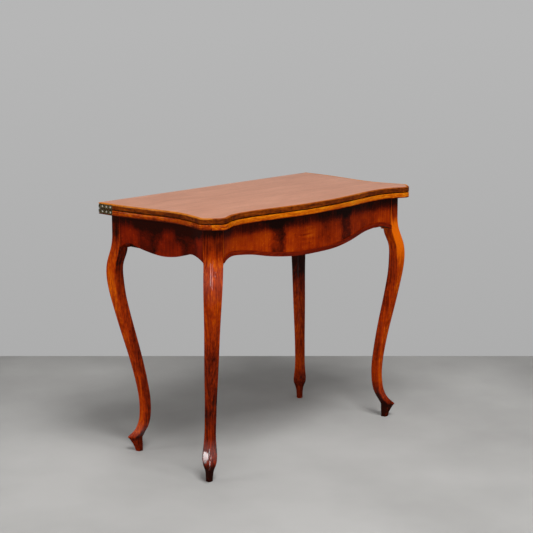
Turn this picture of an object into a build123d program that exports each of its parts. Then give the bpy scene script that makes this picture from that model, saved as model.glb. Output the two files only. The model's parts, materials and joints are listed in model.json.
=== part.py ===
from build123d import *
import math
import os

os.makedirs("parts", exist_ok=True)

# Every length is in millimetres. While the pieces are made, x = 0 is the middle of the table,
# y = 0 is the back edge of the closed top, the front is towards -y and z = 0 is the floor.

# The whole table
top_width = 886.0
top_depth = 453.3
table_height = 740.0

# The two leaves of the top
leaf_thickness = 15.0
leaf_gap = 2.0
slide_gap = 0.4
lipping_width = 8.0
edge_round = 1.6
ear_inset = 1.7
ear_cut_length = 33.0
ear_corner_radius = 24.0
ear_side_lean = 11.0
ear_front_lean = 15.0
mitre_reach = 57.0
hinge_flat = 58.0
baize_border = 46.0
baize_back_margin = 9.0
baize_recess = 1.0
baize_thickness = 0.9
# How many stretches an inset line is worked out in
inset_steps = 16

# How far out the side of the top lies, and how far forward: shares of half the width and of the depth
side_edge_shares = [(0.990, 0.265), (0.972, 0.397), (0.951, 0.529), (0.944, 0.661), (0.961, 0.763),
                    (0.985, 0.850)]
# The same for its front, from the ear to the middle
front_edge_shares = [(0.813, 0.969), (0.722, 0.942), (0.632, 0.937), (0.542, 0.942), (0.361, 0.965),
                     (0.181, 0.986), (0.0, 0.991)]

# Legs
post_width = 38.6
side_overhang = 40.5
front_overhang = 37.1
back_post_reach = 2.0
# How far each foot stands inward from the outer faces of its post
front_foot_in = 10.7
front_foot_back = 33.1
back_foot_in = 46.7
back_foot_forward = 52.0
splay_drop = 87.6
post_back_drop = 100.5
post_back_ease = 0.1
# Sections down the leg. Height as a share of the frame's height; then, as shares of the post's width,
# how far the section swings outward, how far it reaches out, in and to each side, and its two corner radii
leg_section_shares = [
    (0.926, 0.00, 0.707, 0.19, 0.707, 0.26, 0.04),
    (0.912, 0.00, 0.710, 0.19, 0.707, 0.26, 0.04),
    (0.858, 0.09, 0.762, 0.58, 0.706, 0.26, 0.05),
    (0.795, 0.45, 0.815, 0.56, 0.704, 0.26, 0.07),
    (0.731, 0.60, 0.795, 0.60, 0.672, 0.26, 0.09),
    (0.668, 0.54, 0.743, 0.59, 0.630, 0.26, 0.10),
    (0.605, 0.37, 0.690, 0.57, 0.598, 0.25, 0.12),
    (0.543, 0.17, 0.660, 0.56, 0.578, 0.25, 0.13),
    (0.480, -0.06, 0.630, 0.54, 0.562, 0.24, 0.14),
    (0.420, -0.28, 0.604, 0.51, 0.545, 0.24, 0.16),
    (0.356, -0.48, 0.573, 0.485, 0.518, 0.24, 0.18),
    (0.291, -0.65, 0.557, 0.465, 0.492, 0.24, 0.20),
    (0.226, -0.75, 0.544, 0.45, 0.485, 0.24, 0.21),
    (0.164, -0.71, 0.520, 0.43, 0.500, 0.22, 0.20),
    (0.127, -0.59, 0.490, 0.415, 0.575, 0.18, 0.18),
    (0.102, -0.40, 0.475, 0.41, 0.625, 0.15, 0.17),
    (0.085, -0.20, 0.480, 0.42, 0.610, 0.13, 0.16),
    (0.073, -0.04, 0.550, 0.46, 0.550, 0.11, 0.14),
    (0.064, 0.08, 0.640, 0.48, 0.470, 0.09, 0.12),
    (0.057, 0.12, 0.720, 0.47, 0.405, 0.07, 0.10),
]
# The same under the toe, where the sections are joined by straight lines down to the floor
foot_section_shares = [
    (0.047, 0.09, 0.600, 0.42, 0.340, 0.08, 0.10),
    (0.034, 0.05, 0.530, 0.38, 0.300, 0.10, 0.12),
    (0.018, 0.02, 0.390, 0.33, 0.290, 0.12, 0.14),
    (0.000, 0.00, 0.310, 0.29, 0.280, 0.12, 0.14),
]
inner_flat_share = 0.10
inner_slope_share = 0.70
inner_corner_share = 0.07

# Front apron, side aprons and back rail
front_apron_thickness = 36.2
front_swell = 14.2
front_drop = 117.0
# Along the apron from its middle to the post, the face's swell and the lower edge's drop
front_face_shares = [(0.0, 0.69), (0.22, 0.58), (0.44, -0.10), (0.66, -0.89), (0.824, -1.0), (0.92, -0.64),
                     (1.0, 0.0)]
front_lower_shares = [(0.0, 1.0), (0.275, 0.975), (0.41, 0.932), (0.52, 0.881), (0.67, 0.787), (0.795, 0.741),
                      (0.88, 0.723), (0.945, 0.752), (1.0, 0.826)]
side_apron_thickness = 40.5
side_hollow = 19.0
side_drop = 102.6
# The same along a side apron from the back post to the front one
side_face_shares = [(0.0, 0.0), (0.12, 0.05), (0.236, -0.03), (0.414, -0.42), (0.592, -0.87), (0.77, -1.0),
                    (0.903, -0.58), (1.0, 0.0)]
side_lower_shares = [(0.0, 0.932), (0.05, 0.838), (0.105, 0.768), (0.16, 0.785), (0.225, 0.848),
                     (0.32, 0.920), (0.488, 1.0), (0.607, 0.976),
                     (0.696, 0.912), (0.806, 0.818), (0.903, 0.854), (1.0, 0.94)]
back_rail_thickness = 20.0
back_rail_drop = 96.0
veneer_thickness = 1.2
bead_height = 12.0
bead_proud = 3.2
tenon_thickness = 10.0
tenon_length = 14.0
tenon_height = 60.0
tenon_below_top = 10.0
tenon_from_face = 10.2
mortise_clearance = 0.1
mortise_end_gap = 1.0

# Pivot rail, storage well and blocks
pivot_rail_width = 90.0
pivot_rail_thickness = 22.0
housing_depth = 8.0
divider_thickness = 12.0
well_depth = 65.6
well_bottom_thickness = 6.0
cleat_size = 12.0
cleat_end_gap = 48.0
cleat_divider_gap = 12.0
cleat_screw_length = 24.0
cleat_screw_shares = (0.12, 0.50, 0.88)
block_size = 34.0
block_height = 22.0
back_block_length = 56.0
back_block_height = 28.5
block_gap = 0.2

# The swivel
stud_diameter = 12.0
stud_clearance = 0.05
bushing_diameter = 20.0
bushing_flange_diameter = 34.0
bushing_flange_thickness = 2.0
flange_diameter = 52.0
flange_thickness = 3.95
flange_screw_circle = 40.0
flange_screw_length = 12.5
flange_screw_count = 4
washer_diameter = 32.0
washer_thickness = 2.0
washer_play = 0.15
nut_across_flats = 18.0
nut_height = 9.0
stud_past_nut = 2.0
fit_clearance = 0.05
recess_clearance = 0.2
stop_diameter = 8.0
stop_circle_radius = 36.0
stop_in_leaf = 9.0
stop_below_leaf = 5.6
groove_depth = 6.4
groove_side_clearance = 0.5
turn_angle = 90.0
stop_start_angle = 45.0
groove_end_angle = 1.5
groove_steps = 4

# The card-table hinges
pin_depth = 3.2
pin_diameter = 2.6
open_joint = 0.3
nose_radius = 3.0
plate_length = 58.5
plate_height = 12.4
plate_thickness = 2.4
plate_lobe_radius = 7.0
link_thickness = 2.4
link_eye_radius = 2.9
link_side_clearance = 0.2
link_pocket_clearance = 0.5
pin_in_wood = 1.8
pin_press_clearance = 0.02
plate_screw_count = 3
plate_screw_pitch = 16.8
plate_screw_length = 13.0

# Screws
screw_head_diameter = 5.6
screw_head_height = 2.2
screw_shank_diameter = 3.0
screw_slot_width = 0.8
screw_slot_depth = 0.8
overrun = 5.0

# Worked out from the values above
half_width = top_width / 2
ear_reach = half_width - ear_inset
frame_height = table_height - 2 * leaf_thickness - leaf_gap - slide_gap
lower_leaf_z = frame_height + slide_gap
mating_z = lower_leaf_z + leaf_thickness
upper_leaf_z = mating_z + leaf_gap
pivot_x = top_depth / 4
pivot_y = -top_depth / 4
post_reach_x = half_width - side_overhang
front_post_reach = top_depth - front_overhang
post_inner_x = post_reach_x - post_width
post_x = post_reach_x - post_width / 2
front_post_y = -(front_post_reach - post_width / 2)
back_post_y = -(back_post_reach + post_width / 2)
front_seam_y = -(front_post_reach - post_width)
back_seam_y = -(back_post_reach + post_width)
front_foot_x = post_reach_x - front_foot_in
front_foot_reach = front_post_reach - front_foot_back
back_foot_x = post_reach_x - back_foot_in
back_foot_reach = back_post_reach + back_foot_forward
splay_height = frame_height - splay_drop
post_back_bottom = frame_height - post_back_drop
front_apron_inside = front_post_reach - front_apron_thickness
side_apron_inside = post_reach_x - side_apron_thickness
back_rail_inside_y = -(back_post_reach + back_rail_thickness)
pin_spacing = 2 * pin_depth + leaf_gap
pin_back = (pin_spacing - open_joint) / 2
link_outer_x = half_width - plate_thickness - link_side_clearance
well_floor_z = frame_height - well_depth
well_board_z = well_floor_z - well_bottom_thickness
divider_x = pivot_x - pivot_rail_width / 2
fold_y = -pin_back
lower_pin_z = mating_z - pin_depth
upper_pin_z = upper_leaf_z + pin_depth


def box(x0, x1, y0, y1, z0, z1):
    """A box between two corners."""
    return Pos((x0 + x1) / 2, (y0 + y1) / 2, (z0 + z1) / 2) * Box(abs(x1 - x0), abs(y1 - y0), abs(z1 - z0))


def rod(radius, x, y, z0, z1):
    """An upright cylinder between two heights."""
    return Pos(x, y, (z0 + z1) / 2) * Cylinder(radius, z1 - z0)


def both_sides(shape):
    """A piece on the right and its mirror image on the left."""
    return [shape, mirror(shape, Plane.YZ)]


def screw(length, clearance=0.0):
    """A countersunk wood screw, its head's face at z = 0 and its point down; with a clearance, its hole."""
    head = screw_head_diameter / 2 + clearance
    shank = screw_shank_diameter / 2 + clearance
    flare = screw_head_height + clearance
    shape = Pos(0, 0, -flare / 2) * Cone(shank, head, flare)
    shape += Pos(0, 0, -(length + clearance) / 2) * Cylinder(shank, length + clearance)
    if clearance == 0.0:
        shape -= Box(screw_head_diameter, screw_slot_width, 2 * screw_slot_depth)
    return shape


def save(name, *solids):
    """Write one node's solids, moved to the part's own origin."""
    moved = [solid for shape in solids for solid in (Pos(0, origin_shift, 0) * shape).solids()]
    whole = moved[0] if len(moved) == 1 else Compound(children=moved)
    export_step(whole, "parts/" + name + ".step")
    print(name, len(moved))


# The outline of the top

def ear():
    """The right-hand ear: a straight cut across the corner, and the round at each of its ends."""
    bulge = ear_corner_radius * (1 - math.cos(math.pi / 4))
    run = ear_cut_length * math.cos(math.pi / 4)
    side_end = (ear_reach - bulge, -(top_depth - bulge - run))
    front_end = (ear_reach - bulge - run, -(top_depth - bulge))
    side_round = JernArc(side_end, (1, 1), ear_corner_radius, 45 + ear_side_lean)
    front_round = JernArc(front_end, (-1, -1), ear_corner_radius, -(45 + ear_front_lean))
    return side_round, Line(side_end, front_end), front_round


def side_curve():
    """The right-hand side of the top, from the end of its straight stretch to the ear."""
    points = [(share_x * half_width, -share_y * top_depth) for share_x, share_y in side_edge_shares]
    side_round = ear()[0]
    return Spline((half_width, -hinge_flat), *points, side_round @ 1, tangents=[(0, -1), -(side_round % 1)])


def front_curve():
    """The right half of the top's front, from the ear to the middle."""
    points = [(share_x * half_width, -share_y * top_depth) for share_x, share_y in front_edge_shares]
    front_round = ear()[2]
    return Spline(front_round @ 1, *points, tangents=[front_round % 1, (-1, 0)])


def top_outline(back_y):
    """The top seen from above, with its straight sides carried on to back_y."""
    side = side_curve()
    lines = Line((0, back_y), (half_width, back_y))
    lines += Line((half_width, back_y), side @ 0)
    lines += side
    for piece in ear():
        lines += piece
    lines += front_curve()
    lines += mirror(lines, Plane.YZ)
    return make_face(lines)


def inset_points(curve, inset):
    """Points along a curve, each set in square to it."""
    points = []
    for step in range(inset_steps + 1):
        spot = curve @ (step / inset_steps)
        way = curve % (step / inset_steps)
        points.append((spot.X + way.Y * inset, spot.Y - way.X * inset))
    return points


def ear_corner(inset):
    """The triangle beyond the right-hand ear's cut, set in from it."""
    cut = ear()[1]
    line = (cut @ 0).X - (cut @ 0).Y - inset * math.sqrt(2)
    reach = half_width + overrun
    far = -(top_depth + overrun)
    return make_face(Polyline((reach, reach - line), (line + far, far), (reach, far), close=True))


def inset_outline(back_y, inset):
    """The field inside the top's outline, set in from its sides, ears and front."""
    curve = side_curve()
    side = inset_points(curve, inset)
    far = -(top_depth + overrun)
    lines = Polyline((0, back_y), (side[0][0], back_y), side[0])
    lines += Spline(*side, tangents=[curve % 0, curve % 1])
    lines += Polyline(side[-1], (side[-1][0], far), (0, far))
    lines += mirror(lines, Plane.YZ)
    field = make_face(lines)
    curve = front_curve()
    front = inset_points(curve, inset)
    reach = half_width + overrun
    lines = Spline(*front, tangents=[curve % 0, curve % 1])
    lines += Polyline(front[0], (reach, front[0][1]), (reach, back_y), (0, back_y))
    lines += mirror(lines, Plane.YZ)
    field = field & make_face(lines)
    for corner in both_sides(ear_corner(inset)):
        field -= corner
    return field


def nose_cutter(mating_height, side):
    """What the round on a leaf's inner back edge takes off; side is 1 for the lower leaf, -1 for the upper."""
    corner = (overrun, mating_height + side * overrun)
    along = (-nose_radius, mating_height)
    down = (0, mating_height - side * nose_radius)
    middle = (-nose_radius * (1 - math.sqrt(0.5)), mating_height - side * nose_radius * (1 - math.sqrt(0.5)))
    lines = Polyline(down, (overrun, down[1]), corner, (along[0], corner[1]), along)
    lines += ThreePointArc(along, middle, down)
    face = Plane.YZ * make_face(lines)
    return extrude(face, top_width / 2 + overrun, both=True)


def leaf_blank(bottom_z, mating_height, side):
    """A whole leaf with rounded edges at its sides and front and a nose at its inner back edge."""
    back_y = 2 * overrun
    blank = Pos(0, 0, bottom_z) * extrude(top_outline(back_y), leaf_thickness)
    rims = [edge for edge in blank.edges() if is_rim(edge, back_y)]
    blank = fillet(rims, edge_round)
    blank -= box(-top_width, top_width, 0, top_width, bottom_z - overrun, bottom_z + leaf_thickness + overrun)
    return blank - nose_cutter(mating_height, side)


def is_rim(edge, back_y):
    """Whether an edge runs along the top or bottom of a leaf's sides and front."""
    ends = [edge.position_at(0), edge.position_at(1)]
    level = abs(ends[0].Z - ends[1].Z) < fit_clearance
    at_back = all(abs(end.Y - back_y) < fit_clearance for end in ends)
    return level and not at_back


def core_prism(bottom_z, inset):
    """The upright prism inside the top's outline, set in from its sides and front."""
    return Pos(0, 0, bottom_z - overrun) * extrude(inset_outline(0, inset), leaf_thickness + 2 * overrun)


def mitre_prisms(bottom_z):
    """The upright prisms that share the lipping out: front, left and right, mitred at the ears."""
    reach = half_width + overrun
    depth = top_depth + overrun
    z0 = bottom_z - overrun
    height = leaf_thickness + 2 * overrun
    inner_x = reach - mitre_reach
    inner_y = mitre_reach - depth
    front = Polyline((-reach, -depth), (reach, -depth), (inner_x, inner_y), (-inner_x, inner_y), close=True)
    right = Polyline((reach, -depth), (reach, overrun), (inner_x, overrun), (inner_x, inner_y), close=True)
    front_prism = Pos(0, 0, z0) * extrude(make_face(front), height)
    right_prism = Pos(0, 0, z0) * extrude(make_face(right), height)
    return front_prism, mirror(right_prism, Plane.YZ), right_prism


# The card-table hinges; every function gives the right-hand one

def plate_middle_z(mating_height, side):
    return mating_height - side * plate_height / 2


def plate_screw_places(mating_height, side):
    """Where the screws of a right-hand plate go, with their heads on the edge of the leaf."""
    middle = plate_middle_z(mating_height, side)
    places = [-plate_screw_pitch * (index + 1) for index in range(plate_screw_count)]
    return [Pos(half_width, place, middle) * Rot(0, 90, 0) for place in places]


def hinge_plate(mating_height, side):
    """A plate let into the leaf's edge, with a round lobe at its back."""
    z0 = mating_height - side * plate_height
    lobe_centre = -plate_lobe_radius
    lines = Polyline((-plate_length, mating_height), (-plate_length, z0), (lobe_centre, z0))
    lines += RadiusArc((lobe_centre, z0), (0, z0 + side * plate_lobe_radius), -side * plate_lobe_radius)
    lines += Polyline((0, z0 + side * plate_lobe_radius), (0, mating_height), (-plate_length, mating_height))
    face = Plane.YZ * make_face(lines)
    return Pos(half_width - plate_thickness, 0, 0) * extrude(face, plate_thickness)


def plate_recess(mating_height, side):
    """The cut for a plate: square at its back, so that the lobe stands clear of the wood."""
    z0 = mating_height - side * plate_height
    z1 = mating_height + side * overrun
    x0 = half_width - plate_thickness
    return box(x0, half_width + overrun, -plate_length, overrun, min(z0, z1), max(z0, z1))


def link_pocket(mating_height, side):
    """The pocket that the link swings in, open at the back and at the mating face."""
    reach = link_eye_radius + link_pocket_clearance
    pin_z = mating_height - side * pin_depth
    x0 = link_outer_x - link_thickness - link_side_clearance
    z0 = pin_z - side * reach
    z1 = mating_height + side * overrun
    return box(x0, half_width - plate_thickness, -(pin_back + reach), overrun, min(z0, z1), max(z0, z1))


def hinge_pin(mating_height, side, clearance=0.0):
    """A pin through the plate and the link's eye into the lipping; with a clearance, its hole."""
    x0 = link_outer_x - link_thickness - link_side_clearance - pin_in_wood
    length = half_width - x0
    centre = Pos((x0 + half_width) / 2, fold_y, mating_height - side * pin_depth)
    return centre * Rot(0, 90, 0) * Cylinder(pin_diameter / 2 + clearance, length)


def hinge_link():
    """The link between the two pins, upright while the table is closed."""
    bar = Box(2 * link_eye_radius, pin_spacing, link_thickness)
    bar += Pos(0, pin_spacing / 2, 0) * Cylinder(link_eye_radius, link_thickness)
    bar += Pos(0, -pin_spacing / 2, 0) * Cylinder(link_eye_radius, link_thickness)
    eye = Cylinder(pin_diameter / 2 + fit_clearance, 2 * link_thickness)
    bar -= Pos(0, pin_spacing / 2, 0) * eye
    bar -= Pos(0, -pin_spacing / 2, 0) * eye
    middle_z = (lower_pin_z + upper_pin_z) / 2
    middle = (link_outer_x - link_thickness / 2, fold_y, middle_z)
    upright = Plane(origin=middle, x_dir=(0, 1, 0), z_dir=(1, 0, 0))
    return upright * bar


def hinge_cuts(mating_height, side):
    """All that a leaf gives up for its two hinges."""
    cuts = [plate_recess(mating_height, side), link_pocket(mating_height, side)]
    cuts.append(hinge_pin(mating_height, side, pin_press_clearance))
    for spot in plate_screw_places(mating_height, side):
        cuts.append(spot * screw(plate_screw_length, fit_clearance))
    return [cut for shape in cuts for cut in both_sides(shape)]


def save_hinges(prefix, mating_height, side):
    """One leaf's plates, pins and screws."""
    plate = hinge_plate(mating_height, side) - nose_cutter(mating_height, side)
    plate -= hinge_pin(mating_height, side, pin_press_clearance)
    spots = plate_screw_places(mating_height, side)
    for spot in spots:
        plate -= spot * screw(plate_screw_length, fit_clearance)
    right, left = both_sides(plate)
    save(prefix + "_hinge_plate_left", left)
    save(prefix + "_hinge_plate_right", right)
    save(prefix + "_hinge_pins", *both_sides(hinge_pin(mating_height, side)))
    screws = [spot * screw(plate_screw_length) for spot in spots]
    save(prefix + "_hinge_screws", *[half for shape in screws for half in both_sides(shape)])


# The leaves

def baize_field(z0, height, inset):
    """The cloth's field inside its border, from z0 up."""
    return Pos(0, 0, z0) * extrude(inset_outline(-baize_back_margin, inset), height)


def save_leaf(prefix, bottom_z, mating_height, side, extra_cuts):
    """One leaf: its panel, the three lippings round it and the baize let into its mating face."""
    blank = leaf_blank(bottom_z, mating_height, side)
    core = core_prism(bottom_z, lipping_width)
    cuts = hinge_cuts(mating_height, side)
    field_z = min(mating_height, mating_height - side * baize_recess)
    cloth_z = min(mating_height - side * baize_recess, mating_height - side * (baize_recess - baize_thickness))
    panel = (blank & core) - baize_field(field_z, baize_recess, baize_border)
    ring = blank - core
    for cut in cuts + extra_cuts:
        panel -= cut
    for cut in cuts:
        ring -= cut
    front, left, right = [ring & prism for prism in mitre_prisms(bottom_z)]
    save(prefix + "_leaf", panel)
    save(prefix + "_front_lipping", front)
    save(prefix + "_left_lipping", left)
    save(prefix + "_right_lipping", right)
    save(prefix + "_baize", baize_field(cloth_z, baize_thickness, baize_border + fit_clearance))
    save_hinges(prefix, mating_height, side)


# The swivel

def flange_screw_places():
    """Where the flange's screws go, pointing up into the lower leaf."""
    step = 360 / flange_screw_count
    spots = []
    for index in range(flange_screw_count):
        angle = math.radians(step * (index + 0.5))
        x = pivot_x + flange_screw_circle / 2 * math.cos(angle)
        y = pivot_y + flange_screw_circle / 2 * math.sin(angle)
        spots.append(Pos(x, y, lower_leaf_z - slide_gap + fit_clearance) * Rot(180, 0, 0))
    return spots


def swivel_cuts():
    """What the lower leaf gives up for the flange, its screws and the stop."""
    recess_top = lower_leaf_z - slide_gap + fit_clearance + flange_thickness
    radius = flange_diameter / 2 + recess_clearance
    cuts = [rod(radius, pivot_x, pivot_y, lower_leaf_z - overrun, recess_top)]
    cuts += [spot * screw(flange_screw_length, fit_clearance) for spot in flange_screw_places()]
    cuts.append(stop_dowel(fit_clearance))
    return cuts


def stop_dowel(clearance=0.0):
    """The dowel that stops the top at each end of its quarter turn."""
    angle = math.radians(stop_start_angle)
    x = pivot_x + stop_circle_radius * math.cos(angle)
    y = pivot_y + stop_circle_radius * math.sin(angle)
    radius = stop_diameter / 2 + clearance
    return rod(radius, x, y, lower_leaf_z - stop_below_leaf, lower_leaf_z + stop_in_leaf + clearance)


def pivot_flange():
    """The flange under the lower leaf with its stud."""
    z0 = lower_leaf_z - slide_gap + fit_clearance
    flange = rod(flange_diameter / 2, pivot_x, pivot_y, z0, z0 + flange_thickness)
    for spot in flange_screw_places():
        flange -= spot * screw(flange_screw_length, fit_clearance)
    washer_top = frame_height - pivot_rail_thickness - washer_play
    stud_end = washer_top - washer_thickness - nut_height - stud_past_nut
    return flange + rod(stud_diameter / 2, pivot_x, pivot_y, stud_end, z0 + fit_clearance)


def pivot_washer():
    """The washer under the pivot rail."""
    z1 = frame_height - pivot_rail_thickness - washer_play
    bore = stud_diameter / 2 + fit_clearance
    washer = rod(washer_diameter / 2, pivot_x, pivot_y, z1 - washer_thickness, z1)
    return washer - rod(bore, pivot_x, pivot_y, z1 - washer_thickness - overrun, z1 + overrun)


def pivot_nut():
    """The nut that holds the washer up."""
    z1 = frame_height - pivot_rail_thickness - washer_play - washer_thickness
    hexagon = extrude(RegularPolygon(nut_across_flats / 2, 6, major_radius=False), nut_height)
    nut = Pos(pivot_x, pivot_y, z1 - nut_height) * hexagon
    bore = stud_diameter / 2 + fit_clearance
    return nut - rod(bore, pivot_x, pivot_y, z1 - nut_height - overrun, z1 + overrun)


def pivot_bushing():
    """The flanged bushing in the pivot rail."""
    z0 = frame_height - pivot_rail_thickness
    bush = rod(bushing_diameter / 2, pivot_x, pivot_y, z0, frame_height)
    flange_bottom = frame_height - bushing_flange_thickness
    bush += rod(bushing_flange_diameter / 2, pivot_x, pivot_y, flange_bottom, frame_height)
    bore = stud_diameter / 2 + stud_clearance
    return bush - rod(bore, pivot_x, pivot_y, z0 - overrun, frame_height + overrun)


def stop_groove():
    """The groove in the pivot rail that the stop runs round."""
    half = stop_diameter / 2 + groove_side_clearance
    start = stop_start_angle - groove_end_angle
    sweep_angle = turn_angle + 2 * groove_end_angle
    ring = Circle(stop_circle_radius + half) - Circle(stop_circle_radius - half)
    far = 2 * stop_circle_radius
    angles = [math.radians(start + sweep_angle * step / groove_steps) for step in range(groove_steps + 1)]
    outline = [(far * math.cos(angle), far * math.sin(angle)) for angle in angles]
    wedge = Polyline((0, 0), *outline, close=True)
    groove = extrude(ring & make_face(wedge), groove_depth + overrun)
    for angle in (angles[0], angles[-1]):
        end = Pos(stop_circle_radius * math.cos(angle), stop_circle_radius * math.sin(angle), 0)
        groove += end * extrude(Circle(half), groove_depth + overrun)
    return Pos(pivot_x, pivot_y, frame_height - groove_depth) * groove


def pivot_rail():
    """The cross rail that carries the swivel, let into the front apron and the back rail."""
    z0 = frame_height - pivot_rail_thickness
    half = pivot_rail_width / 2
    rail = box(pivot_x - half, pivot_x + half, -(front_apron_inside + housing_depth),
               back_rail_inside_y + housing_depth, z0, frame_height)
    rail -= rod(bushing_diameter / 2, pivot_x, pivot_y, z0 - overrun, frame_height + overrun)
    rail -= rod(bushing_flange_diameter / 2, pivot_x, pivot_y, frame_height - bushing_flange_thickness,
                frame_height + overrun)
    return rail - stop_groove()


# The legs

def leg_section(height_share, swing, outer, inner, side, outer_radius, side_radius, foot_out, foot_side):
    """One level section of a leg, with +x the way it faces and x = y = 0 on the post's own axis."""
    height = height_share * frame_height
    lean = max(0.0, 1 - height / splay_height)
    x = swing * post_width + foot_out * lean
    y = foot_side * lean
    out = outer * post_width
    back = inner * post_width
    reach = side * post_width
    flat = max(inner_flat_share * post_width, (reach - back) * inner_slope_share)
    corners = [(x + out, y), (x, y + reach), (x - back, y + flat), (x - back, y - flat), (x, y - reach)]
    small = inner_corner_share * post_width
    radii = [outer_radius * post_width, side_radius * post_width, small, small, side_radius * post_width]
    wire = FilletPolyline(*corners, radius=radii, close=True)
    return Pos(0, 0, height) * make_face(wire)


def leg(post_y, foot_x, foot_y, facing):
    """The right-hand leg whose post stands at post_y; facing is the angle that its knee points to."""
    angle = math.radians(facing)
    away_x = foot_x - post_x
    away_y = foot_y - post_y
    foot_out = away_x * math.cos(angle) + away_y * math.sin(angle)
    foot_side = away_y * math.cos(angle) - away_x * math.sin(angle)
    sections = [leg_section(*row, foot_out, foot_side) for row in leg_section_shares]
    body = loft(sections)
    top_share = max(share for share, *shape in leg_section_shares)
    body += extrude(sections[0], frame_height * (1 - top_share))
    foot_sections = [leg_section(*row, foot_out, foot_side) for row in foot_section_shares]
    body += loft([sections[-1], *foot_sections], ruled=True)
    return Pos(post_x, post_y, 0) * Rot(0, 0, facing) * body


def post_back(post_y, side):
    """The square inner half of a post, behind its rounded face; side is 1 for a front post."""
    half = post_width / 2
    outer_y = post_y - side * half
    inner_y = post_y + side * half
    inner_x = post_x - half
    front_corner = (inner_x, outer_y + side * post_back_ease)
    side_corner = (post_x + half - post_back_ease, inner_y)
    corners = [front_corner, (inner_x, inner_y), side_corner]
    face = make_face(Polyline(*corners, close=True))
    return Pos(0, 0, post_back_bottom) * extrude(face, frame_height - post_back_bottom)


def finished_leg(post_y, seam_y, foot_x, foot_y, facing, side):
    """A right-hand leg mortised for the tenons of its two aprons."""
    shape = leg(post_y, foot_x, foot_y, facing) + post_back(post_y, side)
    for tenon in tenons(seam_y, side, mortise_clearance, mortise_end_gap):
        shape -= tenon
    return shape


# The aprons and their joints

def cross_tenon(side, clearance, end_gap):
    """The tenon of the front apron or the back rail in the right-hand post; side is 1 at the front."""
    if side == 1:
        y0 = -front_post_reach + tenon_from_face
    else:
        y0 = back_rail_inside_y + (back_rail_thickness - tenon_thickness) / 2
    y1 = y0 + tenon_thickness
    z1 = frame_height - tenon_below_top
    return box(post_inner_x, post_inner_x + tenon_length + end_gap, y0 - clearance, y1 + clearance,
               z1 - tenon_height - clearance, z1 + clearance)


def side_tenon(seam_y, side, clearance, end_gap):
    """The tenon of a side apron in the right-hand post at one of its ends."""
    x1 = post_reach_x - tenon_from_face + clearance
    z1 = frame_height - tenon_below_top
    return box(x1 - tenon_thickness - 2 * clearance, x1, seam_y, seam_y - side * (tenon_length + end_gap),
               z1 - tenon_height - clearance, z1 + clearance)


def tenons(seam_y, side, clearance, end_gap):
    """Both tenons that enter one right-hand post."""
    return [cross_tenon(side, clearance, end_gap), side_tenon(seam_y, side, clearance, end_gap)]


def front_face(back_off):
    """The line of the front apron's face, set back by back_off, from the left post to the right."""
    right = [(share * post_inner_x, -(front_post_reach + swell * front_swell - back_off))
             for share, swell in front_face_shares]
    left = [(-x, y) for x, y in reversed(right[1:])]
    return left + right


def front_plan(near_off, far_y):
    """The plan of a piece between the apron's face, set back by near_off, and the line y = far_y."""
    points = front_face(near_off)
    lines = Spline(*points)
    lines += Polyline(points[-1], (post_inner_x, far_y), (-post_inner_x, far_y), points[0])
    return make_face(lines)


def front_elevation(rise, height):
    """The front seen from the front: above the apron's lower edge lifted by rise, up to a height."""
    right = [(share * post_inner_x, frame_height - drop * front_drop + rise) for share, drop in front_lower_shares]
    left = [(-x, z) for x, z in reversed(right[1:])]
    points = left + right
    lines = Spline(*points)
    lines += Polyline(points[-1], (post_inner_x, height), (-post_inner_x, height), points[0])
    face = Plane.XZ * make_face(lines)
    return extrude(face, top_depth + overrun)


def front_prism(face):
    """A plan carried up through the apron's whole height."""
    z0 = frame_height - front_drop - overrun
    return Pos(0, 0, z0) * extrude(face, front_drop + overrun)


def front_apron():
    """The core of the front apron with its tenons and the housing for the pivot rail."""
    core = front_prism(front_plan(veneer_thickness, -front_apron_inside)) & front_elevation(0, frame_height)
    for tenon in both_sides(cross_tenon(1, 0, 0)):
        core += tenon
    half = pivot_rail_width / 2
    housing = box(pivot_x - half, pivot_x + half, -(front_apron_inside + housing_depth), -front_apron_inside + overrun,
                  frame_height - pivot_rail_thickness, frame_height + overrun)
    core -= housing
    for spot in cleat_screw_places():
        core -= spot * screw(cleat_screw_length, fit_clearance)
    return core


def front_veneers():
    """The two matched halves of the veneer above the bead, left and right."""
    sheet = front_prism(front_plan(0, -front_apron_inside))
    sheet -= front_prism(front_plan(veneer_thickness, -front_apron_inside + overrun))
    sheet = sheet & front_elevation(bead_height, frame_height)
    right = sheet & box(0, top_width, -top_depth, 0, 0, table_height)
    left = sheet & box(-top_width, 0, -top_depth, 0, 0, table_height)
    return left, right


def front_bead():
    """The bead along the front apron's lower edge."""
    outer = front_prism(front_plan(-bead_proud, -front_apron_inside))
    inner = front_prism(front_plan(veneer_thickness, -front_apron_inside + overrun))
    band = (outer - inner) & front_elevation(0, frame_height)
    return band - front_elevation(bead_height, frame_height + overrun)


def side_apron():
    """The right-hand side apron with a tenon at each end."""
    length = back_seam_y - front_seam_y
    face = [(post_reach_x + share * side_hollow, back_seam_y - along * length) for along, share in side_face_shares]
    lines = Spline(*face)
    lines += Polyline(face[-1], (side_apron_inside, front_seam_y), (side_apron_inside, back_seam_y), face[0])
    z0 = frame_height - side_drop - overrun
    body = Pos(0, 0, z0) * extrude(make_face(lines), side_drop + overrun)
    edge = [(back_seam_y - along * length, frame_height - drop * side_drop) for along, drop in side_lower_shares]
    lines = Spline(*edge)
    lines += Polyline(edge[-1], (front_seam_y, frame_height), (back_seam_y, frame_height), edge[0])
    body = body & extrude(Plane.YZ * make_face(lines), top_width)
    body += side_tenon(front_seam_y, 1, 0, 0)
    body += side_tenon(back_seam_y, -1, 0, 0)
    return body


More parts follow.
